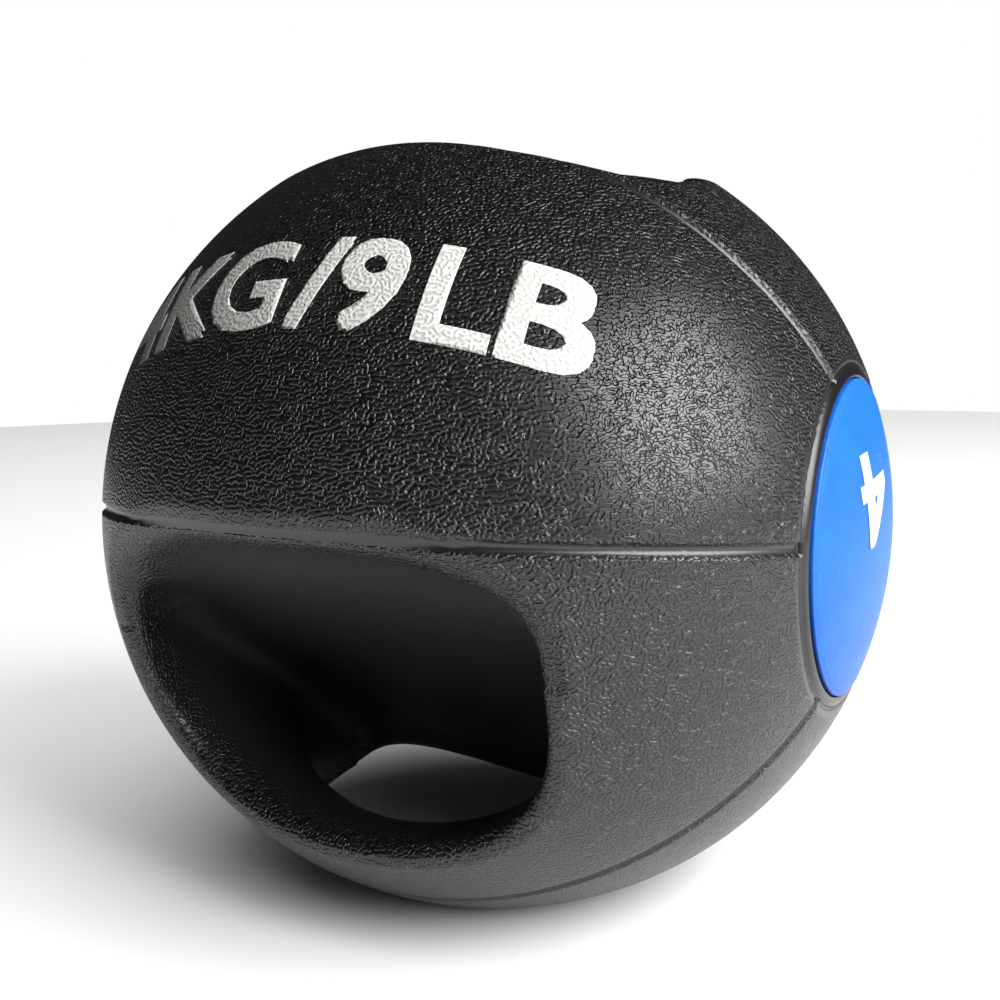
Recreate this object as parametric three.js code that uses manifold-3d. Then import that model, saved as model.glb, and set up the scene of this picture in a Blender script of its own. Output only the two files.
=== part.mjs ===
// A double-grip rubber medicine ball, 230 mm across and about 4 kg.
// Millimetres, +Z up, origin at the centre of the ball. The +X axis runs through the two blue end caps.
// The ball is modelled upright in its own axes, with one grip at +Z, one at -Z and the printed panels
// at -Y and +Y, and then turned about X into the pose in which it rests on the rim of a hand pocket.
import * as THREE from 'three';
import { mergeVertices } from 'three/addons/utils/BufferGeometryUtils.js';
import Module from 'manifold-3d';

// Driving dimensions
const BALL_RADIUS = 115;
const JOINT_GAP = 0.3;              // clear gap between two pieces that touch
const PANEL_COUNT = 6;              // cover panels, shaped like the segments of an orange
const PANEL_THICKNESS = 5;
const MIDDLE_SEAM = 90;             // degrees about X, from the front: the seam along the grips' backs
const OUTER_SEAMS = [30, 150];
const SEAM_WIDTH = 5;               // the groove between two panels, at the surface
const SEAM_FLOOR_WIDTH = 2;
const SEAM_DEPTH = 1.4;
const SEAM_CUT_BEYOND = 1;
const CAP_ANGLE = 21.3;             // degrees from the cap's pole to its edge
const BEZEL_WIDTH = 3.6;            // black ring round each cap
const BEZEL_RECESS = 0.9;
const GRIP_EDGE_ANGLE = 14.5;       // degrees from the middle of a grip to its edge, about X
const POCKET_RIM_ANGLE = 57.7;      // degrees from the middle of a grip to the far rim of a hand pocket
const MOUTH_AXIS_ANGLE = 40.2;      // degrees from the middle of a grip to the axis of a pocket's mouth
const POCKET_HALF_LENGTH = 64.5;
const POCKET_TAPER = 0.0026;        // share by which a mouth narrows for each millimetre of depth
const POCKET_INNER_DEPTH = 46;      // distance of a pocket's inner end from the ball's centre
const FAR_ROUNDNESS = 3.5;          // powers of the mouth's outline, on the far side and on the grip's side
const GRIP_ROUNDNESS = 2.9;
const POCKET_FLOOR_HEIGHT = 55;     // distance of the pocket's flat floor from the ball's centre
const GRIP_THICKNESS = 18.6;        // rubber between the fingers and the surface of the ball
const GRIP_ARCH_RADIUS = 71.3;      // curve of the grip's underside, seen along the fingers
const GRIP_CROWN_RADIUS = 212;      // curve of the grip's underside, seen along the grip
const GRIP_SEAT_ANGLE = 22;         // degrees that a grip moulding reaches to each side of its middle
const GRIP_SEAT_HALF_LENGTH = 71;
const GRIP_SEAT_HEIGHT = 70;        // where a grip moulding's feet stand, from the ball's centre
const PASSAGE_HALF_LENGTH = 50;     // half the length of the passage under a grip, from mouth to mouth
const PASSAGE_HALF_WIDTH = 63;      // where the passage's end walls stand upright on the floor
const LINER_THICKNESS = 3;
const CAVITY_RADIUS = 92;           // air space inside the carcass
const CARCASS_WALL = 8;             // between the air space and a pocket liner
const PRINT_GAP = 0.1;
const PRINT_THICKNESS = 0.4;
const LETTER_HEIGHT = 24;
const LETTER_WIDTH = 14;            // between the middles of the outer strokes
const LETTER_STROKE = 4.8;
const STROKE_OVERLAP = 3.4;         // extra length, so that strokes meet at a corner
const NUMERAL_OFFSET = 14.8;        // centre of the weight numeral from the pole of its cap
const NUMERAL_PLACE_ANGLE = 20.7;   // degrees up from the front, about the cap's pole
const NUMERAL_UP_ANGLE = -132.5;    // the way that the numeral's top points, measured the same way

// Facets
const ROUND_SEGMENTS = 48;
const CAVITY_SEGMENTS = 24;
const OUTLINE_SEGMENTS = 32;
const PASSAGE_STEPS = 6;
const BEYOND = 10;                  // how far a cutting tool reaches past the surface
const MERGE_DISTANCE = 1e-4;

const CARCASS_RADIUS = BALL_RADIUS - PANEL_THICKNESS - JOINT_GAP;
const REST_TILT = (GRIP_EDGE_ANGLE + POCKET_RIM_ANGLE) / 2;
const CAP_RADIUS = BALL_RADIUS * Math.sin(THREE.MathUtils.degToRad(CAP_ANGLE));

const wasm = await Module();
wasm.setup();

// The materials, each with the finish of the real piece
const blackRubber = { color: 0x232021, roughness: 0.5, metalness: 0 };
const smoothRubber = { color: 0x1a1819, roughness: 0.6, metalness: 0 };
const carcassRubber = { color: 0x2e2b29, roughness: 0.8, metalness: 0 };
const bluePaint = { color: 0x2478f2, roughness: 0.42, metalness: 0 };
const whitePaint = { color: 0xebebe6, roughness: 0.45, metalness: 0 };

// Turns a closed three.js geometry into a solid that can be cut and joined.
function toSolid(geometry) {
  const bare = geometry.clone();
  bare.deleteAttribute('normal');
  bare.deleteAttribute('uv');
  const merged = mergeVertices(bare, MERGE_DISTANCE);
  const vertProperties = new Float32Array(merged.attributes.position.array);
  const triVerts = new Uint32Array(merged.index.array);
  return new wasm.Manifold(new wasm.Mesh({ numProp: 3, vertProperties, triVerts }));
}

function toGeometry(solid) {
  const mesh = solid.getMesh();
  const geometry = new THREE.BufferGeometry();
  geometry.setAttribute('position', new THREE.BufferAttribute(new Float32Array(mesh.vertProperties), 3));
  geometry.setIndex(new THREE.BufferAttribute(new Uint32Array(mesh.triVerts), 1));
  geometry.computeVertexNormals();
  return geometry;
}

// A ball with its poles on the X axis.
function ball(radius, segments = ROUND_SEGMENTS) {
  const geometry = new THREE.SphereGeometry(radius, segments, segments / 2);
  geometry.rotateZ(-Math.PI / 2);
  return toSolid(geometry);
}

function shell(outerRadius, innerRadius) {
  return ball(outerRadius).subtract(ball(innerRadius));
}

// A round bar along the whole X axis.
function axleBar(radius) {
  const length = 2 * (BALL_RADIUS + BEYOND);
  const geometry = new THREE.CylinderGeometry(radius, radius, length, ROUND_SEGMENTS);
  geometry.rotateZ(-Math.PI / 2);
  return toSolid(geometry);
}

function block(sizeX, sizeY, sizeZ, x, y, z) {
  const geometry = new THREE.BoxGeometry(sizeX, sizeY, sizeZ);
  geometry.translate(x, y, z);
  return toSolid(geometry);
}

// The half of space on the side of +X or -X, wide enough for the whole ball.
function endHalf(side) {
  const reach = BALL_RADIUS + BEYOND;
  return block(reach, 2 * reach, 2 * reach, side * reach / 2, 0, 0);
}

// An outline in the Y-Z plane, drawn as a shape's x and y, made solid from -halfLength to halfLength in X.
function prismAlongX(shape, halfLength) {
  const geometry = new THREE.ExtrudeGeometry(shape, {
    depth: 2 * halfLength,
    bevelEnabled: false,
  });
  geometry.translate(0, 0, -halfLength);
  const axes = new THREE.Matrix4().makeBasis(
    new THREE.Vector3(0, 1, 0),
    new THREE.Vector3(0, 0, 1),
    new THREE.Vector3(1, 0, 0),
  );
  geometry.applyMatrix4(axes);
  return toSolid(geometry);
}

// The unit direction at an angle about X, measured from the front (-Y) towards the top.
function around(degrees) {
  const angle = THREE.MathUtils.degToRad(degrees);
  return new THREE.Vector3(0, -Math.cos(angle), Math.sin(angle));
}

// One wedge of the ball between two angles about X, less half a joint gap on each side.
function wedge(fromDegrees, toDegrees) {
  const reach = 2 * BALL_RADIUS;
  const trim = THREE.MathUtils.radToDeg(JOINT_GAP / 2 / BALL_RADIUS);
  const start = around(fromDegrees + trim);
  const end = around(toDegrees - trim);
  const shape = new THREE.Shape();
  const middle = around((fromDegrees + toDegrees) / 2).multiplyScalar(JOINT_GAP);
  shape.moveTo(middle.y, middle.z);
  shape.lineTo(end.y * reach, end.z * reach);
  shape.lineTo(start.y * reach, start.z * reach);
  return prismAlongX(shape, BALL_RADIUS + BEYOND);
}

// A ring that cuts the seam groove along a whole great circle through both poles.
function seamCutter(degrees) {
  const outer = BALL_RADIUS + SEAM_CUT_BEYOND;
  const floor = BALL_RADIUS - SEAM_DEPTH;
  const profile = [
    new THREE.Vector2(floor, -SEAM_FLOOR_WIDTH / 2),
    new THREE.Vector2(outer, -SEAM_WIDTH / 2),
    new THREE.Vector2(outer, SEAM_WIDTH / 2),
    new THREE.Vector2(floor, SEAM_FLOOR_WIDTH / 2),
    new THREE.Vector2(floor, -SEAM_FLOOR_WIDTH / 2),
  ];
  const geometry = new THREE.LatheGeometry(profile, ROUND_SEGMENTS);
  geometry.rotateX(-THREE.MathUtils.degToRad(degrees) + Math.PI / 2);
  return toSolid(geometry);
}

// The mouth of one hand pocket: a rounded opening that narrows towards the middle of the ball. Its
// outline is a superellipse, and grow makes every wall stand that much further out.
function pocketMouth(side, grow) {
  const farSpan = THREE.MathUtils.degToRad(POCKET_RIM_ANGLE - MOUTH_AXIS_ANGLE);
  const gripSpan = THREE.MathUtils.degToRad(MOUTH_AXIS_ANGLE - GRIP_EDGE_ANGLE);
  const points = [];
  for (let i = 0; i < OUTLINE_SEGMENTS; i += 1) {
    const angle = (2 * Math.PI * i) / OUTLINE_SEGMENTS;
    const far = Math.sin(angle) >= 0;
    const power = 2 / (far ? FAR_ROUNDNESS : GRIP_ROUNDNESS);
    const halfHeight = BALL_RADIUS * Math.sin(far ? farSpan : gripSpan) + grow;
    points.push(new THREE.Vector2(
      (POCKET_HALF_LENGTH + grow) * Math.sign(Math.cos(angle)) * Math.abs(Math.cos(angle)) ** power,
      halfHeight * Math.sign(Math.sin(angle)) * Math.abs(Math.sin(angle)) ** power,
    ));
  }
  const inner = POCKET_INNER_DEPTH - grow;
  const outer = BALL_RADIUS + BEYOND;
  const geometry = new THREE.ExtrudeGeometry(new THREE.Shape(points), {
    depth: outer - inner,
    steps: 1,
    bevelEnabled: false,
  });
  geometry.translate(0, 0, inner);
  const rimDepth = BALL_RADIUS * Math.cos((farSpan + gripSpan) / 2);
  const position = geometry.attributes.position;
  for (let i = 0; i < position.count; i += 1) {
    const scale = 1 + (position.getZ(i) - rimDepth) * POCKET_TAPER;
    position.setX(i, position.getX(i) * scale);
    position.setY(i, position.getY(i) * scale);
  }
  const axis = around(90 - side * MOUTH_AXIS_ANGLE);
  const away = around(-side * MOUTH_AXIS_ANGLE).multiplyScalar(side);
  const right = new THREE.Vector3().crossVectors(away, axis);
  geometry.applyMatrix4(new THREE.Matrix4().makeBasis(right, away, axis));
  return toSolid(geometry);
}

// The round-topped passage under a grip, from one pocket mouth to the other. Its roof rises towards
// both mouths, so that the grip's underside is crowned, and its end walls are upright at their feet.
function fingerPassage(grow) {
  const centreHeight = BALL_RADIUS - GRIP_THICKNESS - GRIP_ARCH_RADIUS;
  const length = 2 * PASSAGE_HALF_LENGTH;
  const radius = GRIP_ARCH_RADIUS + grow;
  const geometry = new THREE.CylinderGeometry(radius, radius, length, ROUND_SEGMENTS, PASSAGE_STEPS);
  const position = geometry.attributes.position;
  for (let i = 0; i < position.count; i += 1) {
    const rise = position.getY(i) ** 2 / (2 * GRIP_CROWN_RADIUS);
    position.setZ(i, position.getZ(i) + centreHeight + rise);
  }
  const width = 2 * (PASSAGE_HALF_WIDTH + grow);
  const height = 2 * (BALL_RADIUS + BEYOND);
  return toSolid(geometry).intersect(block(width, height, height, 0, 0, 0));
}

// What lies under the upper pocket's flat floor.
function underFloor(grow) {
  const width = 2 * (BALL_RADIUS + BEYOND);
  const top = POCKET_FLOOR_HEIGHT - grow;
  const bottom = -width / 2;
  return block(width, width, top - bottom, 0, 0, (top + bottom) / 2);
}

// The whole open space of the upper hand pocket, both mouths and the passage between them.
function handSpace(grow) {
  return pocketMouth(1, grow).add(pocketMouth(-1, grow)).add(fingerPassage(grow)).subtract(underFloor(grow));
}

// The space that a grip moulding takes up between the cover panels, before the pockets are cut.
function gripSeat(grow) {
  const slope = Math.tan(THREE.MathUtils.degToRad(GRIP_SEAT_ANGLE));
  const low = GRIP_SEAT_HEIGHT - grow;
  const high = BALL_RADIUS + BEYOND;
  const shape = new THREE.Shape();
  shape.moveTo(-low * slope - grow, low);
  shape.lineTo(low * slope + grow, low);
  shape.lineTo(high * slope + grow, high);
  shape.lineTo(-high * slope - grow, high);
  return prismAlongX(shape, GRIP_SEAT_HALF_LENGTH + grow);
}

// The same solid at the lower grip, half a turn about X away.
function turnedOver(solid) {
  const geometry = toGeometry(solid);
  geometry.rotateX(Math.PI);
  return toSolid(geometry);
}

function both(solid) {
  return solid.add(turnedOver(solid));
}

const group = new THREE.Group();
group.rotation.x = -THREE.MathUtils.degToRad(REST_TILT);

function addMesh(name, solid, finish, parent = group) {
  const mesh = new THREE.Mesh(toGeometry(solid), new THREE.MeshStandardMaterial(finish));
  mesh.name = name;
  parent.add(mesh);
  return mesh;
}

// Cover: six panels with the seam grooves along their edges and the hand pockets cut through them
const handSpaces = both(handSpace(0));
const gripSeats = both(gripSeat(JOINT_GAP));
const bezelOuterRadius = CAP_RADIUS + JOINT_GAP + BEZEL_WIDTH;
let seams = seamCutter(MIDDLE_SEAM);
for (const degrees of OUTER_SEAMS) {
  seams = seams.add(seamCutter(degrees));
}
const cover = shell(BALL_RADIUS, BALL_RADIUS - PANEL_THICKNESS)
  .subtract(axleBar(bezelOuterRadius + JOINT_GAP))
  .subtract(handSpaces)
  .subtract(gripSeats)
  .subtract(seams);
const panelNames = [
  'cover_panel_front_print',
  'cover_panel_upper_front',
  'cover_panel_upper_rear',
  'cover_panel_rear_print',
  'cover_panel_lower_rear',
  'cover_panel_lower_front',
];
const panelAngle = 360 / PANEL_COUNT;
panelNames.forEach((name, index) => {
  const start = (index - 0.5) * panelAngle;
  addMesh(name, cover.intersect(wedge(start, start + panelAngle)), blackRubber);
});

// Grips: one arched moulding on each side, with the middle seam groove along its back
const grip = ball(BALL_RADIUS)
  .intersect(gripSeat(0))
  .subtract(handSpace(0))
  .subtract(seamCutter(MIDDLE_SEAM));
addMesh('grip_upper', grip, blackRubber);
addMesh('grip_lower', grip, blackRubber).rotation.x = Math.PI;

// Pocket liners: the smooth skin on each pocket's floor and end walls
const liner = handSpace(LINER_THICKNESS)
  .subtract(handSpace(0))
  .intersect(ball(CARCASS_RADIUS))
  .subtract(gripSeat(JOINT_GAP));
addMesh('pocket_liner_upper', liner, smoothRubber);
addMesh('pocket_liner_lower', liner, smoothRubber).rotation.x = Math.PI;

// Carcass: the heavy moulding that gives the ball its weight, in two halves with an air space between
const reach = 2 * BALL_RADIUS;
const airSpace = ball(CAVITY_RADIUS, CAVITY_SEGMENTS)
  .subtract(both(handSpace(LINER_THICKNESS + JOINT_GAP + CARCASS_WALL)));
const carcass = ball(CARCASS_RADIUS)
  .subtract(airSpace)
  .subtract(both(handSpace(LINER_THICKNESS + JOINT_GAP)))
  .subtract(gripSeats);
for (const [name, side] of [['carcass_half_front', -1], ['carcass_half_rear', 1]]) {
  const half = block(reach, reach, reach, 0, side * (reach + JOINT_GAP) / 2, 0);
  addMesh(name, carcass.intersect(half), carcassRubber);
}

// Ends: a domed cap and a recessed bezel ring on each pole
const capStock = shell(BALL_RADIUS, BALL_RADIUS - PANEL_THICKNESS).intersect(axleBar(CAP_RADIUS));
const bezelStock = shell(BALL_RADIUS - BEZEL_RECESS, BALL_RADIUS - PANEL_THICKNESS)
  .intersect(axleBar(bezelOuterRadius))
  .subtract(axleBar(CAP_RADIUS + JOINT_GAP));
for (const [name, side] of [['right', 1], ['left', -1]]) {
  addMesh(`end_cap_${name}`, capStock.intersect(endHalf(side)), bluePaint);
  addMesh(`bezel_ring_${name}`, bezelStock.intersect(endHalf(side)), smoothRubber);
}

// Printed marks: glyphs drawn as strokes on a cell one unit wide and one unit high
const GLYPHS = {
  4: [[[0.75, 0], [0.75, 1]], [[0.75, 1], [0, 0.3]], [[0, 0.3], [1, 0.3]]],
  9: [[[0.2, 0], [0.7, 0.05], [1, 0.4], [1, 0.8], [0.75, 1], [0.25, 1], [0, 0.8], [0, 0.6],
    [0.25, 0.42], [0.75, 0.42], [1, 0.6]]],
  B: [[[0, 0], [0, 1], [0.7, 1], [0.95, 0.87], [0.95, 0.65], [0.7, 0.52], [0, 0.52]],
    [[0.7, 0.52], [1, 0.36], [1, 0.16], [0.7, 0], [0, 0]]],
  G: [[[1, 0.8], [0.72, 1], [0.28, 1], [0, 0.75], [0, 0.25], [0.28, 0], [0.72, 0], [1, 0.18],
    [1, 0.47], [0.55, 0.47]]],
  K: [[[0, 0], [0, 1]], [[0.9, 1], [0, 0.35]], [[0.3, 0.57], [1, 0]]],
  L: [[[0, 1], [0, 0], [0.85, 0]]],
  '/': [[[0, -0.05], [0.5, 1.05]]],
};
const PRINT_TEXT = ['4', 'K', 'G', '/', '9', 'L', 'B'];
const LETTER_PITCHES = [0, 21.5, 43, 63.5, 77, 98.5, 117];

// One glyph as upright strokes, standing from z = 0 to the given depth, centred on the letter cell.
function glyphSolid(glyph, centreX, depth) {
  const cellHeight = LETTER_HEIGHT - LETTER_STROKE;
  const place = ([x, y]) => new THREE.Vector2(
    centreX + (x - 0.5) * LETTER_WIDTH,
    (y - 0.5) * cellHeight,
  );
  let solid = null;
  for (const line of GLYPHS[glyph]) {
    for (let i = 1; i < line.length; i += 1) {
      const start = place(line[i - 1]);
      const end = place(line[i]);
      const along = end.clone().sub(start);
      const geometry = new THREE.BoxGeometry(along.length() + STROKE_OVERLAP, LETTER_STROKE, depth);
      geometry.rotateZ(along.angle());
      geometry.translate((start.x + end.x) / 2, (start.y + end.y) / 2, depth / 2);
      const stroke = toSolid(geometry);
      solid = solid ? solid.add(stroke) : stroke;
    }
  }
  return solid;
}

// Stands a flat mark up on the ball: right and up are the way it reads, out is the way it faces.
function placeMark(solid, right, up, out, offset) {
  const geometry = toGeometry(solid);
  geometry.applyMatrix4(new THREE.Matrix4().makeBasis(right, up, out));
  geometry.translate(offset.x, offset.y, offset.z);
  return toSolid(geometry);
}

const printSkin = shell(BALL_RADIUS + PRINT_GAP + PRINT_THICKNESS, BALL_RADIUS + PRINT_GAP);
const markDepth = BALL_RADIUS + BEYOND;
const textHalfWidth = LETTER_PITCHES[LETTER_PITCHES.length - 1] / 2;
const readRight = new THREE.Vector3(1, 0, 0);
const readUp = new THREE.Vector3(0, 0, 1);
const faceFront = new THREE.Vector3(0, -1, 0);
for (const [name, turn] of [['front', 0], ['rear', Math.PI]]) {
  const print = new THREE.Group();
  print.rotation.z = turn;
  group.add(print);
  PRINT_TEXT.forEach((glyph, index) => {
    const flat = glyphSolid(glyph, LETTER_PITCHES[index] - textHalfWidth, markDepth);
    const letter = placeMark(flat, readRight, readUp, faceFront, new THREE.Vector3());
    addMesh(`print_${name}_${index + 1}`, letter.intersect(printSkin), whitePaint, print);
  });
}

const numeralUp = around(NUMERAL_UP_ANGLE);
const numeralOut = new THREE.Vector3(1, 0, 0);
const numeral = placeMark(
  glyphSolid('4', 0, markDepth),
  new THREE.Vector3().crossVectors(numeralUp, numeralOut),
  numeralUp,
  numeralOut,
  around(NUMERAL_PLACE_ANGLE).multiplyScalar(NUMERAL_OFFSET),
).intersect(printSkin);
addMesh('cap_numeral_right', numeral, whitePaint);
addMesh('cap_numeral_left', numeral, whitePaint).rotation.z = Math.PI;

export default group;
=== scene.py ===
"""A double-grip rubber medicine ball: grained black cover, two grips over hand pockets, blue end caps."""

import math

import bmesh
import bpy
import numpy as np
from mathutils import Matrix, Vector, noise


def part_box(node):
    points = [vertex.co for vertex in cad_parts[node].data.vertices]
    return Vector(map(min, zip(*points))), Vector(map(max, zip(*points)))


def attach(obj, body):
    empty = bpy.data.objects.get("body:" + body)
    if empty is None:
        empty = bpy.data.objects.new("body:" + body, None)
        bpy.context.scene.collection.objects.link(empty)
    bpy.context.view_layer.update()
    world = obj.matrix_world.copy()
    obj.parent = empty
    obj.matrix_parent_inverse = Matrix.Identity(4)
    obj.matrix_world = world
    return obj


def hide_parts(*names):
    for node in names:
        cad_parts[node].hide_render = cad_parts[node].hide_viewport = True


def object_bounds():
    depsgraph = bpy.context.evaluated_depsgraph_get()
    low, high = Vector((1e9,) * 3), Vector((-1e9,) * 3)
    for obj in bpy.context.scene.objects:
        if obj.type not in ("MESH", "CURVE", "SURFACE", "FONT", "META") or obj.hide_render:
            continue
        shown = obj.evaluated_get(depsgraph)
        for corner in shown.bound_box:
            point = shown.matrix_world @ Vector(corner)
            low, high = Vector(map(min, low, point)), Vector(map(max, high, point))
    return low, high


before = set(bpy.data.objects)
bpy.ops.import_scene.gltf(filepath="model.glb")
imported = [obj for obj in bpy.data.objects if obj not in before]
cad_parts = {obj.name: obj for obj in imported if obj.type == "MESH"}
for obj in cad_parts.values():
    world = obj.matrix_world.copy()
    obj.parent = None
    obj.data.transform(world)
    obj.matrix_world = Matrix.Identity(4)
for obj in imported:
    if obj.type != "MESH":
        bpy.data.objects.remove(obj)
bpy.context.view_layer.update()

# Sizes in metres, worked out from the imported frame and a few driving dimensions
MM = 0.001
CAP_LOW, CAP_HIGH = (Vector(corner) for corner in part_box("end_cap_right"))
BALL_RADIUS = CAP_HIGH.x
CAP_RADIUS = (CAP_HIGH.y - CAP_LOW.y) / 2
BEZEL_LOW, BEZEL_HIGH = (Vector(corner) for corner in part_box("bezel_ring_right"))
BEZEL_RADIUS = (BEZEL_HIGH.y - BEZEL_LOW.y) / 2 + 0.3 * MM

GRIP_EDGE_ANGLE = math.radians(14.5)
POCKET_RIM_ANGLE = math.radians(57.7)
MOUTH_AXIS_ANGLE = math.radians(40.2)
REST_TILT = -(GRIP_EDGE_ANGLE + POCKET_RIM_ANGLE) / 2    # the ball leans back about X onto a pocket's rim
POCKET_HALF_LENGTH = 61.5 * MM
POCKET_TAPER = 0.0026 / MM             # share by which a mouth narrows with depth
POCKET_INNER_DEPTH = 46 * MM
FAR_ROUNDNESS = 3.5                    # powers of the mouth's outline: far side and grip side
GRIP_ROUNDNESS = 2.9
POCKET_FLOOR_HEIGHT = 55 * MM
FLOOR_CROWN_RADIUS = 1500 * MM         # the floor is almost flat
GRIP_THICKNESS = 18.6 * MM
GRIP_ARCH_RADIUS = 71.3 * MM
GRIP_CROWN_RADIUS = 212 * MM
PASSAGE_HALF_LENGTH = 55 * MM
PASSAGE_NARROWING = 9 * MM             # how much closer its walls stand at the mouths than in the middle
PASSAGE_BLEND = 16 * MM                # widths over which one surface runs into the next
FLOOR_BLEND = 13 * MM
EDGE_BLEND = 7 * MM
FAR_RIM_BLEND = 12 * MM
GRIP_SEAT_ANGLE = math.radians(22)
GRIP_SEAT_HALF_LENGTH = 71 * MM
GRIP_SEAT_HEIGHT = 70 * MM
LINER_DEPTH = 88 * MM                  # the liner starts this far from the centre, along the mouth's axis

BODY_VOXEL = 1.3 * MM
SKIN_THICKNESS = 2.0 * MM
SEAM_ANGLES = [math.radians(angle) for angle in (30, 90, 150)]
SEAM_HALF_WIDTH = 1.6 * MM
SEAM_DEPTH = 1.2 * MM
END_EDGE_WIDTH = 2.4 * MM              # rounded edge of the cover where it meets a bezel ring
END_EDGE_DROP = 1.2 * MM
PRINT_LIFT = 0.12 * MM
PRINT_THICKNESS = 0.1 * MM

TILT = Matrix.Rotation(REST_TILT, 4, "X")
HALF_TURN_X = Matrix.Rotation(math.pi, 4, "X")
HALF_TURN_Z = Matrix.Rotation(math.pi, 4, "Z")


def around(angle):
    """The unit direction at an angle about X, from the front (-Y) towards the top, on the upright ball."""
    return Vector((0, -math.cos(angle), math.sin(angle)))


# ---------------------------------------------------------------- camera

def make_camera():
    """A camera at table height, looking at the printed panel and the right-hand cap."""
    distance = 3.2 * BALL_RADIUS
    azimuth = math.radians(28.9)
    elevation = math.radians(9.14)
    level = distance * math.cos(elevation)
    place = Vector((level * math.sin(azimuth), -level * math.cos(azimuth), distance * math.sin(elevation)))
    target = Vector((0.39, 0.83, 3.58)) * MM
    data = bpy.data.cameras.new("camera")
    data.lens = 43.28
    data.sensor_width = 36
    data.clip_start = 0.01
    camera = bpy.data.objects.new("camera", data)
    bpy.context.collection.objects.link(camera)
    facing = (target - place).to_track_quat("-Z", "Y").to_matrix().to_4x4()
    roll = Matrix.Rotation(math.radians(-0.885), 4, "Z")
    camera.matrix_world = Matrix.Translation(place) @ facing @ roll
    bpy.context.scene.camera = camera


# ---------------------------------------------------------------- mesh helpers

def new_object(name, bm):
    """Turns a bmesh into a linked object and frees it."""
    mesh = bpy.data.meshes.new(name)
    bm.to_mesh(mesh)
    bm.free()
    obj = bpy.data.objects.new(name, mesh)
    bpy.context.collection.objects.link(obj)
    return obj


def apply_modifiers(obj):
    """Bakes an object's modifiers into its mesh."""
    evaluated = obj.evaluated_get(bpy.context.evaluated_depsgraph_get())
    mesh = bpy.data.meshes.new_from_object(evaluated)
    obj.modifiers.clear()
    obj.data = mesh
    return obj


def boolean(obj, other, operation):
    """Cuts or joins obj with other, and removes other."""
    modifier = obj.modifiers.new("boolean", "BOOLEAN")
    modifier.operation = operation
    modifier.solver = "EXACT"
    modifier.object = other
    apply_modifiers(obj)
    bpy.data.objects.remove(other)
    return obj


def shade_smooth(obj):
    obj.data.polygons.foreach_set("use_smooth", [True] * len(obj.data.polygons))


# ---------------------------------------------------------------- the moulded body

def smooth_max(first, second, width):
    """The larger of two distances, rounded where they are nearly equal."""
    overlap = np.maximum(width - np.abs(first - second), 0) / width
    return np.maximum(first, second) + overlap ** 2 * width / 4


def mouth_size(depth):
    """How large a mouth is at a depth along its axis, against its size at the ball's surface."""
    rim_depth = BALL_RADIUS * math.cos((POCKET_RIM_ANGLE - GRIP_EDGE_ANGLE) / 2)
    return 1 + (depth - rim_depth) * POCKET_TAPER


def mouth_distance(x, y, z):
    """Distance from one mouth: a rounded opening along its axis that narrows towards the middle."""
    across = y * math.cos(MOUTH_AXIS_ANGLE) - z * math.sin(MOUTH_AXIS_ANGLE)
    along = y * math.sin(MOUTH_AXIS_ANGLE) + z * math.cos(MOUTH_AXIS_ANGLE)
    size = np.clip(mouth_size(along), 0.3, 1.3)
    far_height = BALL_RADIUS * math.sin(POCKET_RIM_ANGLE - MOUTH_AXIS_ANGLE)
    grip_height = BALL_RADIUS * math.sin(MOUTH_AXIS_ANGLE - GRIP_EDGE_ANGLE)
    half_height = np.where(across > 0, far_height, grip_height) * size
    power = np.where(across > 0, FAR_ROUNDNESS, GRIP_ROUNDNESS)
    share = (x / (POCKET_HALF_LENGTH * size)) ** power + (np.abs(across) / half_height) ** power
    return (share ** (1 / power) - 1) * half_height


def passage_distance(x, y, z):
    """Distance from the way under the grip. Its round roof rises towards both mouths."""
    centre = BALL_RADIUS - GRIP_THICKNESS - GRIP_ARCH_RADIUS
    above = z - centre - y ** 2 / (2 * GRIP_CROWN_RADIUS)
    narrowing = PASSAGE_NARROWING * (y / PASSAGE_HALF_LENGTH) ** 4
    return np.maximum(np.hypot(x, above) - GRIP_ARCH_RADIUS + narrowing, y - PASSAGE_HALF_LENGTH)


def body_distance(co):
    """How far points are outside the moulded body, which is the same in every octant."""
    x, y, z = np.abs(co).T
    ball = np.linalg.norm(co, axis=1) - BALL_RADIUS
    floor = POCKET_FLOOR_HEIGHT - y ** 2 / (2 * FLOOR_CROWN_RADIUS)
    space = -smooth_max(-mouth_distance(x, y, z), -passage_distance(x, y, z), PASSAGE_BLEND)
    space = smooth_max(space, floor - z, FLOOR_BLEND)
    from_grip = np.degrees(np.arctan2(y, z))
    far = np.clip((from_grip - 30) / 15, 0, 1) * np.clip((0.62 - x / BALL_RADIUS) / 0.35, 0, 1)
    return smooth_max(ball, -space, EDGE_BLEND + (FAR_RIM_BLEND - EDGE_BLEND) * far)


def settle(co, rounds):
    """Moves points along the steepest way until they lie on the moulded body's surface."""
    step = 0.05 * MM
    for _ in range(rounds):
        value = body_distance(co)
        slope = np.stack([body_distance(co + step * axis) - value for axis in np.eye(3)], axis=1) / step
        slope_length = np.maximum(np.linalg.norm(slope, axis=1), 0.3)
        move = np.clip(value / slope_length, -3 * MM, 3 * MM)
        co = co - slope / slope_length[:, None] * move[:, None]
    return co


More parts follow.
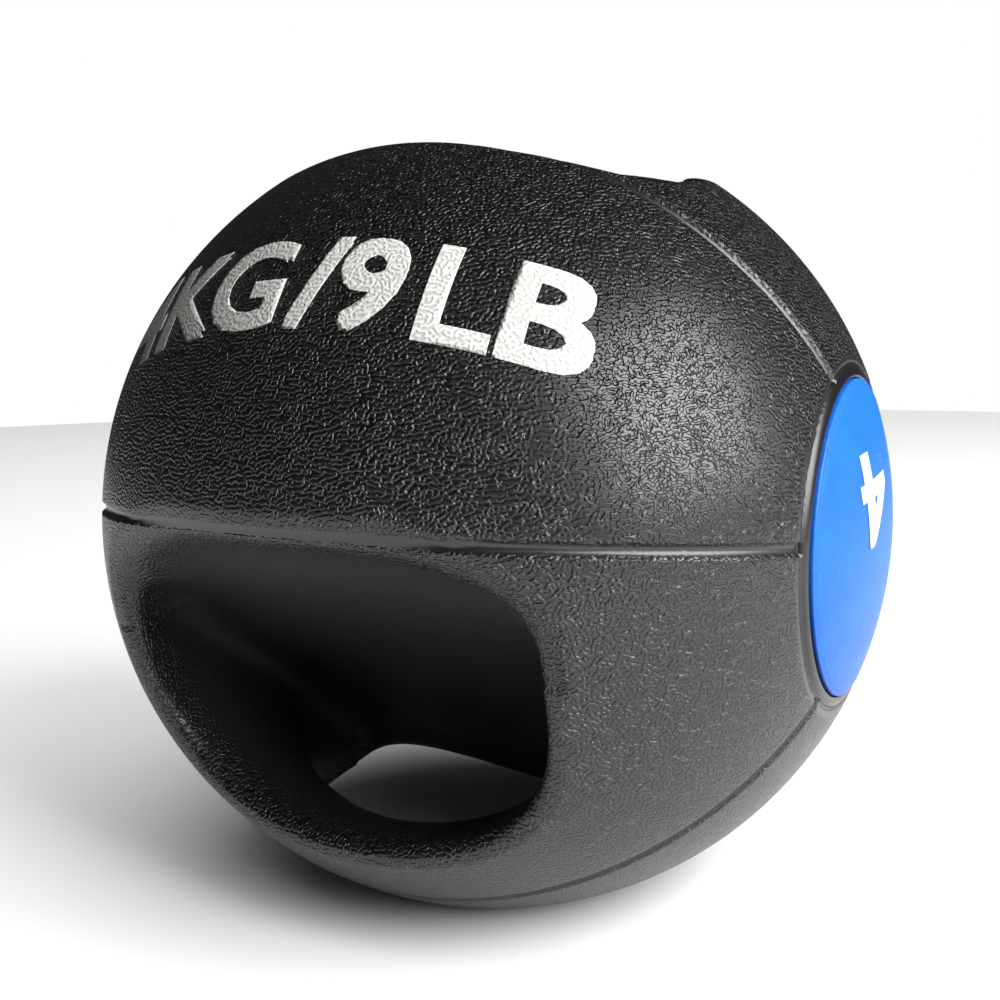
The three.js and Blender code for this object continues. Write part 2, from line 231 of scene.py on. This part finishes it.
def body_bmesh():
    """The whole moulded body as one closed mesh on the upright ball."""
    bm = bmesh.new()
    bmesh.ops.create_icosphere(bm, subdivisions=6, radius=BALL_RADIUS)
    body = new_object("body", bm)
    for turn in (Matrix.Identity(4), HALF_TURN_X):
        for space in (rough_passage(), pocket_mouth(1), pocket_mouth(-1)):
            boolean(space, rough_floor(), "DIFFERENCE")
            space.data.transform(turn)
            boolean(body, space, "DIFFERENCE")
    remesh = body.modifiers.new("remesh", "REMESH")
    remesh.mode = "VOXEL"
    remesh.voxel_size = BODY_VOXEL
    apply_modifiers(body)
    bm = bmesh.new()
    bm.from_mesh(body.data)
    bpy.data.objects.remove(body)
    for _ in range(3):
        for _ in range(4):
            bmesh.ops.smooth_vert(bm, verts=bm.verts, factor=0.5, use_axis_x=True, use_axis_y=True, use_axis_z=True)
        for vert, place in zip(bm.verts, settle(np.array([vert.co for vert in bm.verts]), 4)):
            vert.co = place
    return bm


def pocket_mouth(side):
    """The rough shape of one mouth: a rounded box along its axis that narrows towards the middle."""
    inner = POCKET_INNER_DEPTH
    outer = BALL_RADIUS + inner
    far_height = BALL_RADIUS * math.sin(POCKET_RIM_ANGLE - MOUTH_AXIS_ANGLE)
    grip_height = BALL_RADIUS * math.sin(MOUTH_AXIS_ANGLE - GRIP_EDGE_ANGLE)
    bm = bmesh.new()
    bmesh.ops.create_cube(bm, size=2)
    bmesh.ops.scale(bm, vec=(POCKET_HALF_LENGTH, (far_height + grip_height) / 2, 1), verts=bm.verts)
    upright = [edge for edge in bm.edges if abs(edge.verts[0].co.z - edge.verts[1].co.z) > 1]
    bmesh.ops.bevel(bm, geom=upright, offset=far_height * 0.7, segments=8, affect="EDGES", profile=0.5,
                    material=-1)
    bmesh.ops.translate(bm, vec=(0, (grip_height - far_height) / 2, 0), verts=bm.verts)
    for vert in bm.verts:
        depth = inner if vert.co.z < 0 else outer
        vert.co = (vert.co.x * mouth_size(depth), vert.co.y * mouth_size(depth), depth)
    bmesh.ops.transform(bm, matrix=Matrix.Rotation(MOUTH_AXIS_ANGLE, 4, "X"), verts=bm.verts)
    if side < 0:
        bmesh.ops.transform(bm, matrix=HALF_TURN_Z, verts=bm.verts)
    return new_object("mouth", bm)


def rough_cylinder(radius, length, matrix):
    bm = bmesh.new()
    bmesh.ops.create_cone(bm, cap_ends=True, segments=128, radius1=radius, radius2=radius, depth=length)
    bmesh.ops.transform(bm, matrix=matrix, verts=bm.verts)
    return new_object("cylinder", bm)


def rough_passage():
    height = BALL_RADIUS - GRIP_THICKNESS - GRIP_ARCH_RADIUS
    along_y = Matrix.Translation((0, 0, height)) @ Matrix.Rotation(math.pi / 2, 4, "X")
    return rough_cylinder(GRIP_ARCH_RADIUS, 2 * PASSAGE_HALF_LENGTH, along_y)


def rough_floor():
    below = Matrix.Translation((0, 0, POCKET_FLOOR_HEIGHT - FLOOR_CROWN_RADIUS))
    return rough_cylinder(FLOOR_CROWN_RADIUS, 4 * BALL_RADIUS, below @ Matrix.Rotation(math.pi / 2, 4, "Y"))


def seam_distance(co):
    """Distance of each point from the nearest seam plane."""
    nearest = np.full(len(co), 1.0)
    for angle in SEAM_ANGLES:
        across = around(angle + math.pi / 2)
        nearest = np.minimum(nearest, np.abs(co @ np.array(across)))
    return nearest


def refine_seams(bm):
    """Splits the faces along the seams and the cover's ends, so that the grooves are sharp."""
    co = np.array([vert.co for vert in bm.verts])
    radius = np.linalg.norm(co, axis=1)
    end_x = math.sqrt(BALL_RADIUS ** 2 - BEZEL_RADIUS ** 2)
    near = seam_distance(co) < SEAM_HALF_WIDTH + 1.5 * MM
    near |= np.abs(np.abs(co[:, 0]) - end_x) < END_EDGE_WIDTH + MM
    near &= radius > BALL_RADIUS - MM
    edges = [edge for edge in bm.edges if near[edge.verts[0].index] and near[edge.verts[1].index]]
    bmesh.ops.subdivide_edges(bm, edges=edges, cuts=1, use_grid_fill=True)


def groove(share):
    """Depth of a groove from 0 to 1, at a share of its half width: steep sides and a round floor."""
    inside = np.clip(1 - share ** 2, 0, 1)
    return inside ** 0.75 * np.clip((1 - share) / 0.12, 0, 1) ** 0.5


def carve(bm):
    """Rounds the body to the true ball, carves the seams, and stores how grained each point is."""
    bm.verts.ensure_lookup_table()
    co = np.array([vert.co for vert in bm.verts])
    radius = np.linalg.norm(co, axis=1)
    off = BALL_RADIUS - radius
    on_ball = np.clip(1.4 - off / (0.5 * MM), 0, 1)
    target = radius + off * on_ball
    outside = np.clip(1 - off / (4 * MM), 0, 1)
    distance = seam_distance(co)
    share = distance / SEAM_HALF_WIDTH
    target -= SEAM_DEPTH * groove(share) * outside
    end_x = math.sqrt(BALL_RADIUS ** 2 - BEZEL_RADIUS ** 2)
    from_end = np.abs(end_x - np.abs(co[:, 0])) * BALL_RADIUS / BEZEL_RADIUS
    end_share = np.clip(1 - from_end / END_EDGE_WIDTH, 0, 1)
    target -= END_EDGE_DROP * (1 - np.sqrt(1 - end_share ** 2)) * outside
    moved = co * (target / radius)[:, None]
    grain = np.clip((distance - SEAM_HALF_WIDTH * 0.85) / (0.6 * MM), 0, 1)
    grain *= np.clip((from_end - 1.8 * MM) / (0.8 * MM), 0, 1)
    depth = np.clip((off - 3 * MM) / (14 * MM), 0, 1)
    layer = bm.verts.layers.float.new("grain")
    inner = bm.verts.layers.float.new("pocket")
    for vert, place, amount, inside in zip(bm.verts, moved, grain, depth):
        vert.co = place
        on_skin = inside <= 0
        vert[layer] = amount if on_skin else 1.0
        vert[inner] = inside


def slice_body(bm):
    """Cuts the mesh along every line where one moulded piece meets the next."""
    def cut(normal, point=(0, 0, 0), only=None):
        faces = [face for face in bm.faces if only is None or only(face.calc_center_median())]
        edges = {edge for face in faces for edge in face.edges}
        verts = {vert for face in faces for vert in face.verts}
        geom = list(verts) + list(edges) + faces
        bmesh.ops.bisect_plane(bm, geom=geom, dist=1e-7, plane_co=point, plane_no=normal)

    for angle in SEAM_ANGLES:
        cut(around(angle + math.pi / 2))
    end_x = math.sqrt(BALL_RADIUS ** 2 - BEZEL_RADIUS ** 2)
    for side in (1, -1):
        cut((side, 0, 0), (side * end_x, 0, 0))
        cut((side, 0, 0), (side * GRIP_SEAT_HALF_LENGTH, 0, 0), near_grip)
        cut((0, 0, side), (0, 0, side * GRIP_SEAT_HEIGHT), near_grip)
        for turn in (1, -1):
            normal = Vector((0, math.cos(GRIP_SEAT_ANGLE), -turn * math.sin(GRIP_SEAT_ANGLE)))
            cut(normal, only=near_grip)
            axis = mouth_axis(side, turn)
            cut(axis, axis * LINER_DEPTH, in_pocket)


def mouth_axis(side, turn):
    return Vector((0, turn * math.sin(MOUTH_AXIS_ANGLE), side * math.cos(MOUTH_AXIS_ANGLE)))


def near_grip(co):
    return abs(co.x) < GRIP_SEAT_HALF_LENGTH + 5 * MM and abs(co.y) < abs(co.z) * 0.55


def in_pocket(co):
    return co.length < BALL_RADIUS - 2.5 * MM


PANELS = [
    "cover_panel_front_print",
    "cover_panel_upper_front",
    "cover_panel_upper_rear",
    "cover_panel_rear_print",
    "cover_panel_lower_rear",
    "cover_panel_lower_front",
]


def piece_of(co):
    """The name of the moulded piece that holds a point of the upright body, or None under a cap."""
    end_x = math.sqrt(BALL_RADIUS ** 2 - BEZEL_RADIUS ** 2)
    if abs(co.x) > end_x:
        return None
    level = "upper" if co.z > 0 else "lower"
    side = 1 if co.z > 0 else -1
    in_wedge = abs(co.y) < abs(co.z) * math.tan(GRIP_SEAT_ANGLE)
    if in_wedge and abs(co.x) < GRIP_SEAT_HALF_LENGTH and abs(co.z) > GRIP_SEAT_HEIGHT:
        return f"grip_{level}"
    depth = max(co.dot(mouth_axis(side, 1)), co.dot(mouth_axis(side, -1)))
    if in_pocket(co) and depth < LINER_DEPTH:
        return f"pocket_liner_{level}"
    angle = math.degrees(math.atan2(co.z, -co.y))
    return PANELS[round(angle / 60) % 6]


def key(co):
    return tuple(round(value / (0.001 * MM)) for value in co)


def body_pieces():
    """Builds the body, cuts it into its pieces, and gives each piece its thickness."""
    whole = body_bmesh()
    refine_seams(whole)
    carve(whole)
    slice_body(whole)
    whole.normal_update()
    normals = {key(vert.co): vert.normal.copy() for vert in whole.verts}
    names = [piece_of(face.calc_center_median()) for face in whole.faces]
    pieces = []
    for name in sorted({name for name in names if name}):
        bm = whole.copy()
        bm.faces.ensure_lookup_table()
        extra = [bm.faces[i] for i, owner in enumerate(names) if owner != name]
        bmesh.ops.delete(bm, geom=extra, context="FACES")
        bm.normal_update()
        inner = bmesh.ops.extrude_face_region(bm, geom=bm.faces[:], use_keep_orig=True)["geom"]
        for vert in [item for item in inner if isinstance(item, bmesh.types.BMVert)]:
            vert.co -= normals.get(key(vert.co), vert.normal) * SKIN_THICKNESS
        bmesh.ops.recalc_face_normals(bm, faces=bm.faces)
        bm.normal_update()
        smooth_normals = [tuple(normals.get(key(vert.co), vert.normal)) for vert in bm.verts]
        obj = new_object(f"{name}_moulding", bm)
        shade_smooth(obj)
        obj.data.normals_split_custom_set_from_vertices(smooth_normals)
        obj.data.transform(TILT)
        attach(obj, "root")
        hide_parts(name)
        pieces.append(obj)
    whole.free()
    return pieces


# ---------------------------------------------------------------- caps and bezel rings

def spun(name, profile, steps=192):
    """Spins an outline of (distance from the X axis, x) points right round the X axis."""
    bm = bmesh.new()
    verts = [bm.verts.new((x, 0, radius)) for radius, x in profile]
    edges = [bm.edges.new(pair) for pair in zip(verts, verts[1:] + verts[:1])]
    bmesh.ops.spin(bm, geom=verts + edges, cent=(0, 0, 0), axis=(1, 0, 0), angle=2 * math.pi, steps=steps,
                   use_merge=True, use_duplicate=False)
    bmesh.ops.remove_doubles(bm, verts=bm.verts, dist=0.001 * MM)
    bmesh.ops.recalc_face_normals(bm, faces=bm.faces)
    return bm


def on_sphere(radius, distance):
    return math.sqrt(radius ** 2 - distance ** 2)


def cap_bmesh():
    """A domed cap with a softly rounded edge."""
    edge_round = 0.5 * MM
    rings = 40
    profile = [(CAP_RADIUS * step / rings, on_sphere(BALL_RADIUS, CAP_RADIUS * step / rings))
               for step in range(rings)]
    rim_x = on_sphere(BALL_RADIUS, CAP_RADIUS)
    for step in range(9):
        angle = math.radians(90 * step / 8)
        profile.append((CAP_RADIUS - edge_round * (1 - math.sin(angle)), rim_x - edge_round * (1 - math.cos(angle))))
    profile.append((CAP_RADIUS, rim_x - 3.2 * MM))
    profile.append((0, on_sphere(BALL_RADIUS, 0) - 4.5 * MM))
    return spun("cap", profile)


def bezel_bmesh():
    """A black ring: a glossy convex bead between two narrow channels."""
    inner = CAP_RADIUS + 0.1 * MM
    width = BEZEL_RADIUS - inner
    steps = 36
    profile = []
    for step in range(steps + 1):
        share = step / steps
        bead = max(1 - ((share - 0.58) / 0.42) ** 2, 0) ** 0.5
        radius = BALL_RADIUS - 1.5 * MM + 1.15 * MM * bead
        profile.append((BEZEL_RADIUS - width * share, on_sphere(radius, BEZEL_RADIUS - width * share)))
    low = on_sphere(BALL_RADIUS, BEZEL_RADIUS) - 4 * MM
    profile.append((inner, low))
    profile.append((BEZEL_RADIUS, low))
    return spun("bezel", profile)


def make_ends(materials):
    for name, turn in (("right", Matrix.Identity(4)), ("left", HALF_TURN_Z)):
        for build, node, piece, finish in (
            (cap_bmesh, f"end_cap_{name}", f"end_cap_{name}_dome", "blue"),
            (bezel_bmesh, f"bezel_ring_{name}", f"bezel_ring_{name}_bead", "smooth"),
        ):
            bm = build()
            bmesh.ops.transform(bm, matrix=TILT @ turn, verts=bm.verts)
            obj = new_object(piece, bm)
            shade_smooth(obj)
            obj.data.materials.append(materials[finish])
            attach(obj, "root")
            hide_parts(node)


# ---------------------------------------------------------------- printed marks

GLYPH_HEIGHT = 26 * MM
GLYPH_BOLDNESS = 0.026                 # of the font's own size, added on every side
NUMERAL_HEIGHT = 24 * MM
NUMERAL_BOLDNESS = 0.024
NUMERAL_WIDENING = 1.25
PRINT_GLYPHS = "4KG/9LB"
PRINT_CENTRES = [x * MM for x in (-58.5, -37, -15.5, 5, 18.5, 40, 58.5)]


def glyph_mesh(character, height, boldness=GLYPH_BOLDNESS, widening=1.0):
    """One bold upright glyph as a flat mesh, centred, cut finely enough to lie on the ball."""
    curve = bpy.data.curves.new("glyph", "FONT")
    curve.body = character
    curve.extrude = 0.1
    curve.resolution_u = 4
    text = bpy.data.objects.new("glyph", curve)
    bpy.context.collection.objects.link(text)
    mesh = bpy.data.meshes.new_from_object(text.evaluated_get(bpy.context.evaluated_depsgraph_get()))
    bpy.data.objects.remove(text)
    bm = bmesh.new()
    bm.from_mesh(mesh)
    bmesh.ops.remove_doubles(bm, verts=bm.verts, dist=1e-4)
    thin = new_object("glyph", bm)
    bold = None
    for x, y in ((1, 1), (1, -1), (-1, 1), (-1, -1)):
        copy = bpy.data.objects.new("glyph", thin.data.copy())
        bpy.context.collection.objects.link(copy)
        copy.data.transform(Matrix.Translation((x * boldness, y * boldness, 0)))
        bold = boolean(bold, copy, "UNION") if bold else copy
    bpy.data.objects.remove(thin)
    bm = bmesh.new()
    bm.from_mesh(bold.data)
    bpy.data.objects.remove(bold)
    bmesh.ops.delete(bm, geom=[face for face in bm.faces if face.normal.z < 0.9], context="FACES")
    sides = [[vert.co[axis] for vert in bm.verts] for axis in (0, 1)]
    low = Vector((min(sides[0]), min(sides[1]), 0))
    high = Vector((max(sides[0]), max(sides[1]), 0))
    scale = height / (high.y - low.y)
    bmesh.ops.translate(bm, vec=-(low + high) / 2 - Vector((0, 0, curve.extrude)), verts=bm.verts)
    bmesh.ops.scale(bm, vec=(scale * widening, scale, 0), verts=bm.verts)
    bmesh.ops.remove_doubles(bm, verts=bm.verts, dist=0.02 * MM)
    pitch = 2 * MM
    for step in range(-9, 10):
        for normal in ((1, 0, 0), (0, 1, 0)):
            geom = bm.verts[:] + bm.edges[:] + bm.faces[:]
            bmesh.ops.bisect_plane(bm, geom=geom, dist=1e-6, plane_co=Vector(normal) * pitch * step,
                                   plane_no=normal)
    return bm


def lay_on_ball(bm, matrix):
    """Places a flat glyph in front of the ball and drops it onto the surface as a thin skin."""
    bmesh.ops.transform(bm, matrix=matrix, verts=bm.verts)
    facing = (matrix.to_3x3() @ Vector((0, 0, 1))).normalized()
    for vert in bm.verts:
        flat = vert.co - facing * vert.co.dot(facing)
        depth = math.sqrt(max((BALL_RADIUS + PRINT_LIFT) ** 2 - flat.length_squared, 0))
        vert.co = flat + facing * depth
    bmesh.ops.recalc_face_normals(bm, faces=bm.faces)
    if sum(face.normal.dot(facing) for face in bm.faces) < 0:
        bmesh.ops.reverse_faces(bm, faces=bm.faces)
    lifted = bmesh.ops.extrude_face_region(bm, geom=bm.faces[:])
    fresh = [item for item in lifted["geom"] if isinstance(item, bmesh.types.BMVert)]
    bmesh.ops.translate(bm, vec=facing * PRINT_THICKNESS, verts=fresh)
    bmesh.ops.recalc_face_normals(bm, faces=bm.faces)


def basis(right, up, out):
    return Matrix((right, up, out)).transposed().to_4x4()


def make_prints(materials):
    reading = basis(Vector((1, 0, 0)), Vector((0, 0, 1)), Vector((0, -1, 0)))
    for name, turn in (("front", Matrix.Identity(4)), ("rear", HALF_TURN_Z)):
        for index, (character, x) in enumerate(zip(PRINT_GLYPHS, PRINT_CENTRES)):
            bm = glyph_mesh(character, GLYPH_HEIGHT)
            lay_on_ball(bm, turn @ reading @ Matrix.Translation((x, 0, 0)))
            bmesh.ops.transform(bm, matrix=TILT, verts=bm.verts)
            obj = new_object(f"print_{name}_{index + 1}_ink", bm)
            shade_smooth(obj)
            obj.data.materials.append(materials["white"])
            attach(obj, "root")
            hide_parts(f"print_{name}_{index + 1}")
    up = around(math.radians(-132.5))
    out = Vector((1, 0, 0))
    place = around(math.radians(20.7)) * 14.8 * MM
    upright = Matrix.Translation(place) @ basis(up.cross(out), up, out)
    for name, turn in (("right", Matrix.Identity(4)), ("left", HALF_TURN_Z)):
        bm = glyph_mesh("4", NUMERAL_HEIGHT, NUMERAL_BOLDNESS, NUMERAL_WIDENING)
        lay_on_ball(bm, turn @ upright)
        bmesh.ops.transform(bm, matrix=TILT, verts=bm.verts)
        obj = new_object(f"cap_numeral_{name}_ink", bm)
        shade_smooth(obj)
        obj.data.materials.append(materials["numeral"])
        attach(obj, "root")
        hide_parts(f"cap_numeral_{name}")


# ---------------------------------------------------------------- materials

def srgb(code, alpha=1.0):
    """Turns an sRGB hex colour into linear values."""
    channels = [int(code[i:i + 2], 16) / 255 for i in (1, 3, 5)]
    linear = [c / 12.92 if c <= 0.04045 else ((c + 0.055) / 1.055) ** 2.4 for c in channels]
    return (*linear, alpha)


def add_node(tree, kind, settings=None, **links):
    """Adds a node, sets its properties and inputs, and links sockets given as inputs."""
    node = tree.nodes.new(kind)
    for name, value in (settings or {}).items():
        if name in node.inputs:
            node.inputs[name].default_value = value
        else:
            setattr(node, name, value)
    for name, socket in links.items():
        tree.links.new(socket, node.inputs[name.replace("_", " ")])
    return node


def new_material(name, colour, roughness, **constants):
    material = bpy.data.materials.new(name)
    material.use_nodes = True
    shader = material.node_tree.nodes["Principled BSDF"]
    shader.inputs["Base Color"].default_value = srgb(colour)
    shader.inputs["Roughness"].default_value = roughness
    for socket, value in constants.items():
        shader.inputs[socket.replace("_", " ")].default_value = value
    return material, material.node_tree, shader


def math_node(tree, operation, first, second):
    """One Math node; first and second are sockets or numbers."""
    node = tree.nodes.new("ShaderNodeMath")
    node.operation = operation
    for index, value in enumerate((first, second)):
        if isinstance(value, (int, float)):
            node.inputs[index].default_value = value
        else:
            tree.links.new(value, node.inputs[index])
    return node.outputs[0]


def leather_grain(tree, spacing):
    """Height from 0 to 1 of an etched mould's grain: flat worms, a spacing apart, parted by thin valleys."""
    place = add_node(tree, "ShaderNodeTexCoord").outputs["Object"]
    waves_per_cell = 2.0
    worms = add_node(tree, "ShaderNodeTexGabor", {"gabor_type": "3D", "Scale": 1 / (spacing * waves_per_cell),
                                                  "Frequency": waves_per_cell, "Anisotropy": 0.0},
                     Vector=place)
    return add_node(tree, "ShaderNodeMapRange", {"From Min": 0.40, "From Max": 0.58,
                                                 "interpolation_type": "SMOOTHSTEP"},
                    Value=worms.outputs["Value"]).outputs["Result"]


def soft_mottle(tree, spacing, detail=2.0):
    """A slow cloudy change from 0 to 1."""
    place = add_node(tree, "ShaderNodeTexCoord").outputs["Object"]
    return add_node(tree, "ShaderNodeTexNoise", {"Scale": 1 / spacing, "Detail": detail},
                    Vector=place).outputs["Fac"]


def blend_colour(tree, shader, amount, low, high):
    """Runs the shader's colour from low to high with an amount from 0 to 1."""
    mix = add_node(tree, "ShaderNodeMix", {"data_type": "RGBA"})
    tree.links.new(amount, mix.inputs[0])
    mix.inputs[6].default_value = srgb(low)
    mix.inputs[7].default_value = srgb(high)
    tree.links.new(mix.outputs[2], shader.inputs["Base Color"])


def grained_rubber():
    """Vulcanised black rubber from an etched mould: satin plateaus of leather grain, with painted shade darkening
    the valleys to near black.
    """
    material, tree, shader = new_material("vulcanised_rubber_leather_grain", "#1e1b1d", 0.36, IOR=1.6)
    grain = add_node(tree, "ShaderNodeAttribute", {"attribute_name": "grain"}).outputs["Fac"]
    pocket = add_node(tree, "ShaderNodeAttribute", {"attribute_name": "pocket"}).outputs["Fac"]
    coarse = leather_grain(tree, 1.15 * MM)
    fine = soft_mottle(tree, 0.8 * MM, 1.0)
    open_skin = math_node(tree, "MULTIPLY", grain, math_node(tree, "SUBTRACT", 1.0, pocket))
    coarse_share = math_node(tree, "MULTIPLY", coarse, open_skin)
    fine_share = math_node(tree, "MULTIPLY", fine, math_node(tree, "MULTIPLY", pocket, 0.45))
    height = math_node(tree, "ADD", coarse_share, fine_share)
    # Painted shade: the grain's valleys run towards near black, standing in for the shade that falls in them.
    valley_painted_shade = math_node(tree, "MULTIPLY", math_node(tree, "SUBTRACT", 1.0, coarse), open_skin)
    blend_colour(tree, shader, valley_painted_shade, "#201d1f", "#050505")
    rough = add_node(tree, "ShaderNodeMapRange", {"To Min": 0.33, "To Max": 0.52}, Value=pocket)
    tree.links.new(rough.outputs["Result"], shader.inputs["Roughness"])
    bump = add_node(tree, "ShaderNodeBump", {"Strength": 1.0, "Distance": 0.35 * MM}, Height=height)
    tree.links.new(bump.outputs["Normal"], shader.inputs["Normal"])
    return material


def smooth_rubber():
    """The same rubber where the mould is polished: a glossy bead with faint flow marks."""
    material, tree, shader = new_material("vulcanised_rubber_smooth", "#161415", 0.32, IOR=1.52)
    bump = add_node(tree, "ShaderNodeBump", {"Strength": 0.3, "Distance": 0.1 * MM},
                    Height=soft_mottle(tree, 1.2 * MM))
    tree.links.new(bump.outputs["Normal"], shader.inputs["Normal"])
    return material


def blue_paint():
    """Blue rubber paint sprayed over fine grain: bright, satin and faintly pebbled."""
    material, tree, shader = new_material("rubber_paint_blue", "#1f74f2", 0.45, IOR=1.45)
    pebbles = leather_grain(tree, 1.5 * MM)
    bump = add_node(tree, "ShaderNodeBump", {"Strength": 0.5, "Distance": 0.08 * MM}, Height=pebbles)
    tree.links.new(bump.outputs["Normal"], shader.inputs["Normal"])
    blend_colour(tree, shader, soft_mottle(tree, 9 * MM), "#1a6cec", "#2580fa")
    return material


def white_ink():
    """White screen ink on the grain: satin, and it follows every worm under it with grey in the valleys."""
    material, tree, shader = new_material("screen_ink_white", "#f2f2ee", 0.45, IOR=1.5)
    worms = leather_grain(tree, 1.15 * MM)
    blend_colour(tree, shader, worms, "#dcdcd6", "#f8f8f4")
    bump = add_node(tree, "ShaderNodeBump", {"Strength": 1.0, "Distance": 0.12 * MM}, Height=worms)
    tree.links.new(bump.outputs["Normal"], shader.inputs["Normal"])
    return material


def numeral_ink():
    """The thicker white paint of the weight figure: bright, matt and almost smooth."""
    material, tree, shader = new_material("rubber_paint_white", "#fafafa", 0.5, IOR=1.45)
    bump = add_node(tree, "ShaderNodeBump", {"Strength": 0.4, "Distance": 0.08 * MM},
                    Height=leather_grain(tree, 1.5 * MM))
    tree.links.new(bump.outputs["Normal"], shader.inputs["Normal"])
    return material


def carcass_rubber():
    """Filled reclaimed rubber inside the ball: dull and slightly mottled."""
    material, tree, shader = new_material("filled_rubber_dull", "#1c1a1a", 0.8)
    bump = add_node(tree, "ShaderNodeBump", {"Strength": 0.3, "Distance": 0.2 * MM},
                    Height=soft_mottle(tree, 2 * MM))
    tree.links.new(bump.outputs["Normal"], shader.inputs["Normal"])
    return material


# ---------------------------------------------------------------- stage

def make_stage(floor_height):
    material, _, _ = new_material("studio_paper", "#f4f4f4", 0.9)
    bm = bmesh.new()
    bmesh.ops.create_circle(bm, cap_ends=True, segments=96, radius=1.8)
    bmesh.ops.translate(bm, vec=(0, 0, floor_height), verts=bm.verts)
    floor = new_object("floor", bm)
    floor.data.materials.append(material)
    floor.visible_diffuse = False
    world = bpy.data.worlds.new("studio")
    bpy.context.scene.world = world
    world.use_nodes = True
    tree = world.node_tree
    background = tree.nodes["Background"]
    background.inputs["Color"].default_value = (1, 1, 1, 1)
    seen = add_node(tree, "ShaderNodeLightPath").outputs["Is Camera Ray"]
    strength = add_node(tree, "ShaderNodeMapRange", {"To Min": 0.04, "To Max": 1.0}, Value=seen)
    tree.links.new(strength.outputs["Result"], background.inputs["Strength"])
    bpy.context.scene.view_settings.view_transform = "Standard"
    only_floor = bpy.data.collections.new("lit_by_floor_light")
    only_floor.objects.link(floor)
    for name, place, size, power, receivers in (
        ("key", (1.05, -0.16, 0.6), 0.9, 28, None),
        ("floor_light", (1.0, 0.0, 4.0), 8.0, 330, only_floor),
    ):
        data = bpy.data.lights.new(name, "AREA")
        data.size = size
        data.energy = power
        light = bpy.data.objects.new(name, data)
        light.light_linking.receiver_collection = receivers
        bpy.context.collection.objects.link(light)
        facing = (-Vector(place)).to_track_quat("-Z", "Y").to_matrix().to_4x4()
        light.matrix_world = Matrix.Translation(place) @ facing


# ---------------------------------------------------------------- assembly

make_camera()
MATERIALS = {
    "grained": grained_rubber(),
    "smooth": smooth_rubber(),
    "blue": blue_paint(),
    "white": white_ink(),
    "numeral": numeral_ink(),
    "carcass": carcass_rubber(),
}
for moulding in body_pieces():
    moulding.data.materials.append(MATERIALS["grained"])
make_ends(MATERIALS)
make_prints(MATERIALS)
for node in ("carcass_half_front", "carcass_half_rear"):
    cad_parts[node].data.materials.clear()
    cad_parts[node].data.materials.append(MATERIALS["carcass"])
visual_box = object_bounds()
make_stage(visual_box[0][2])
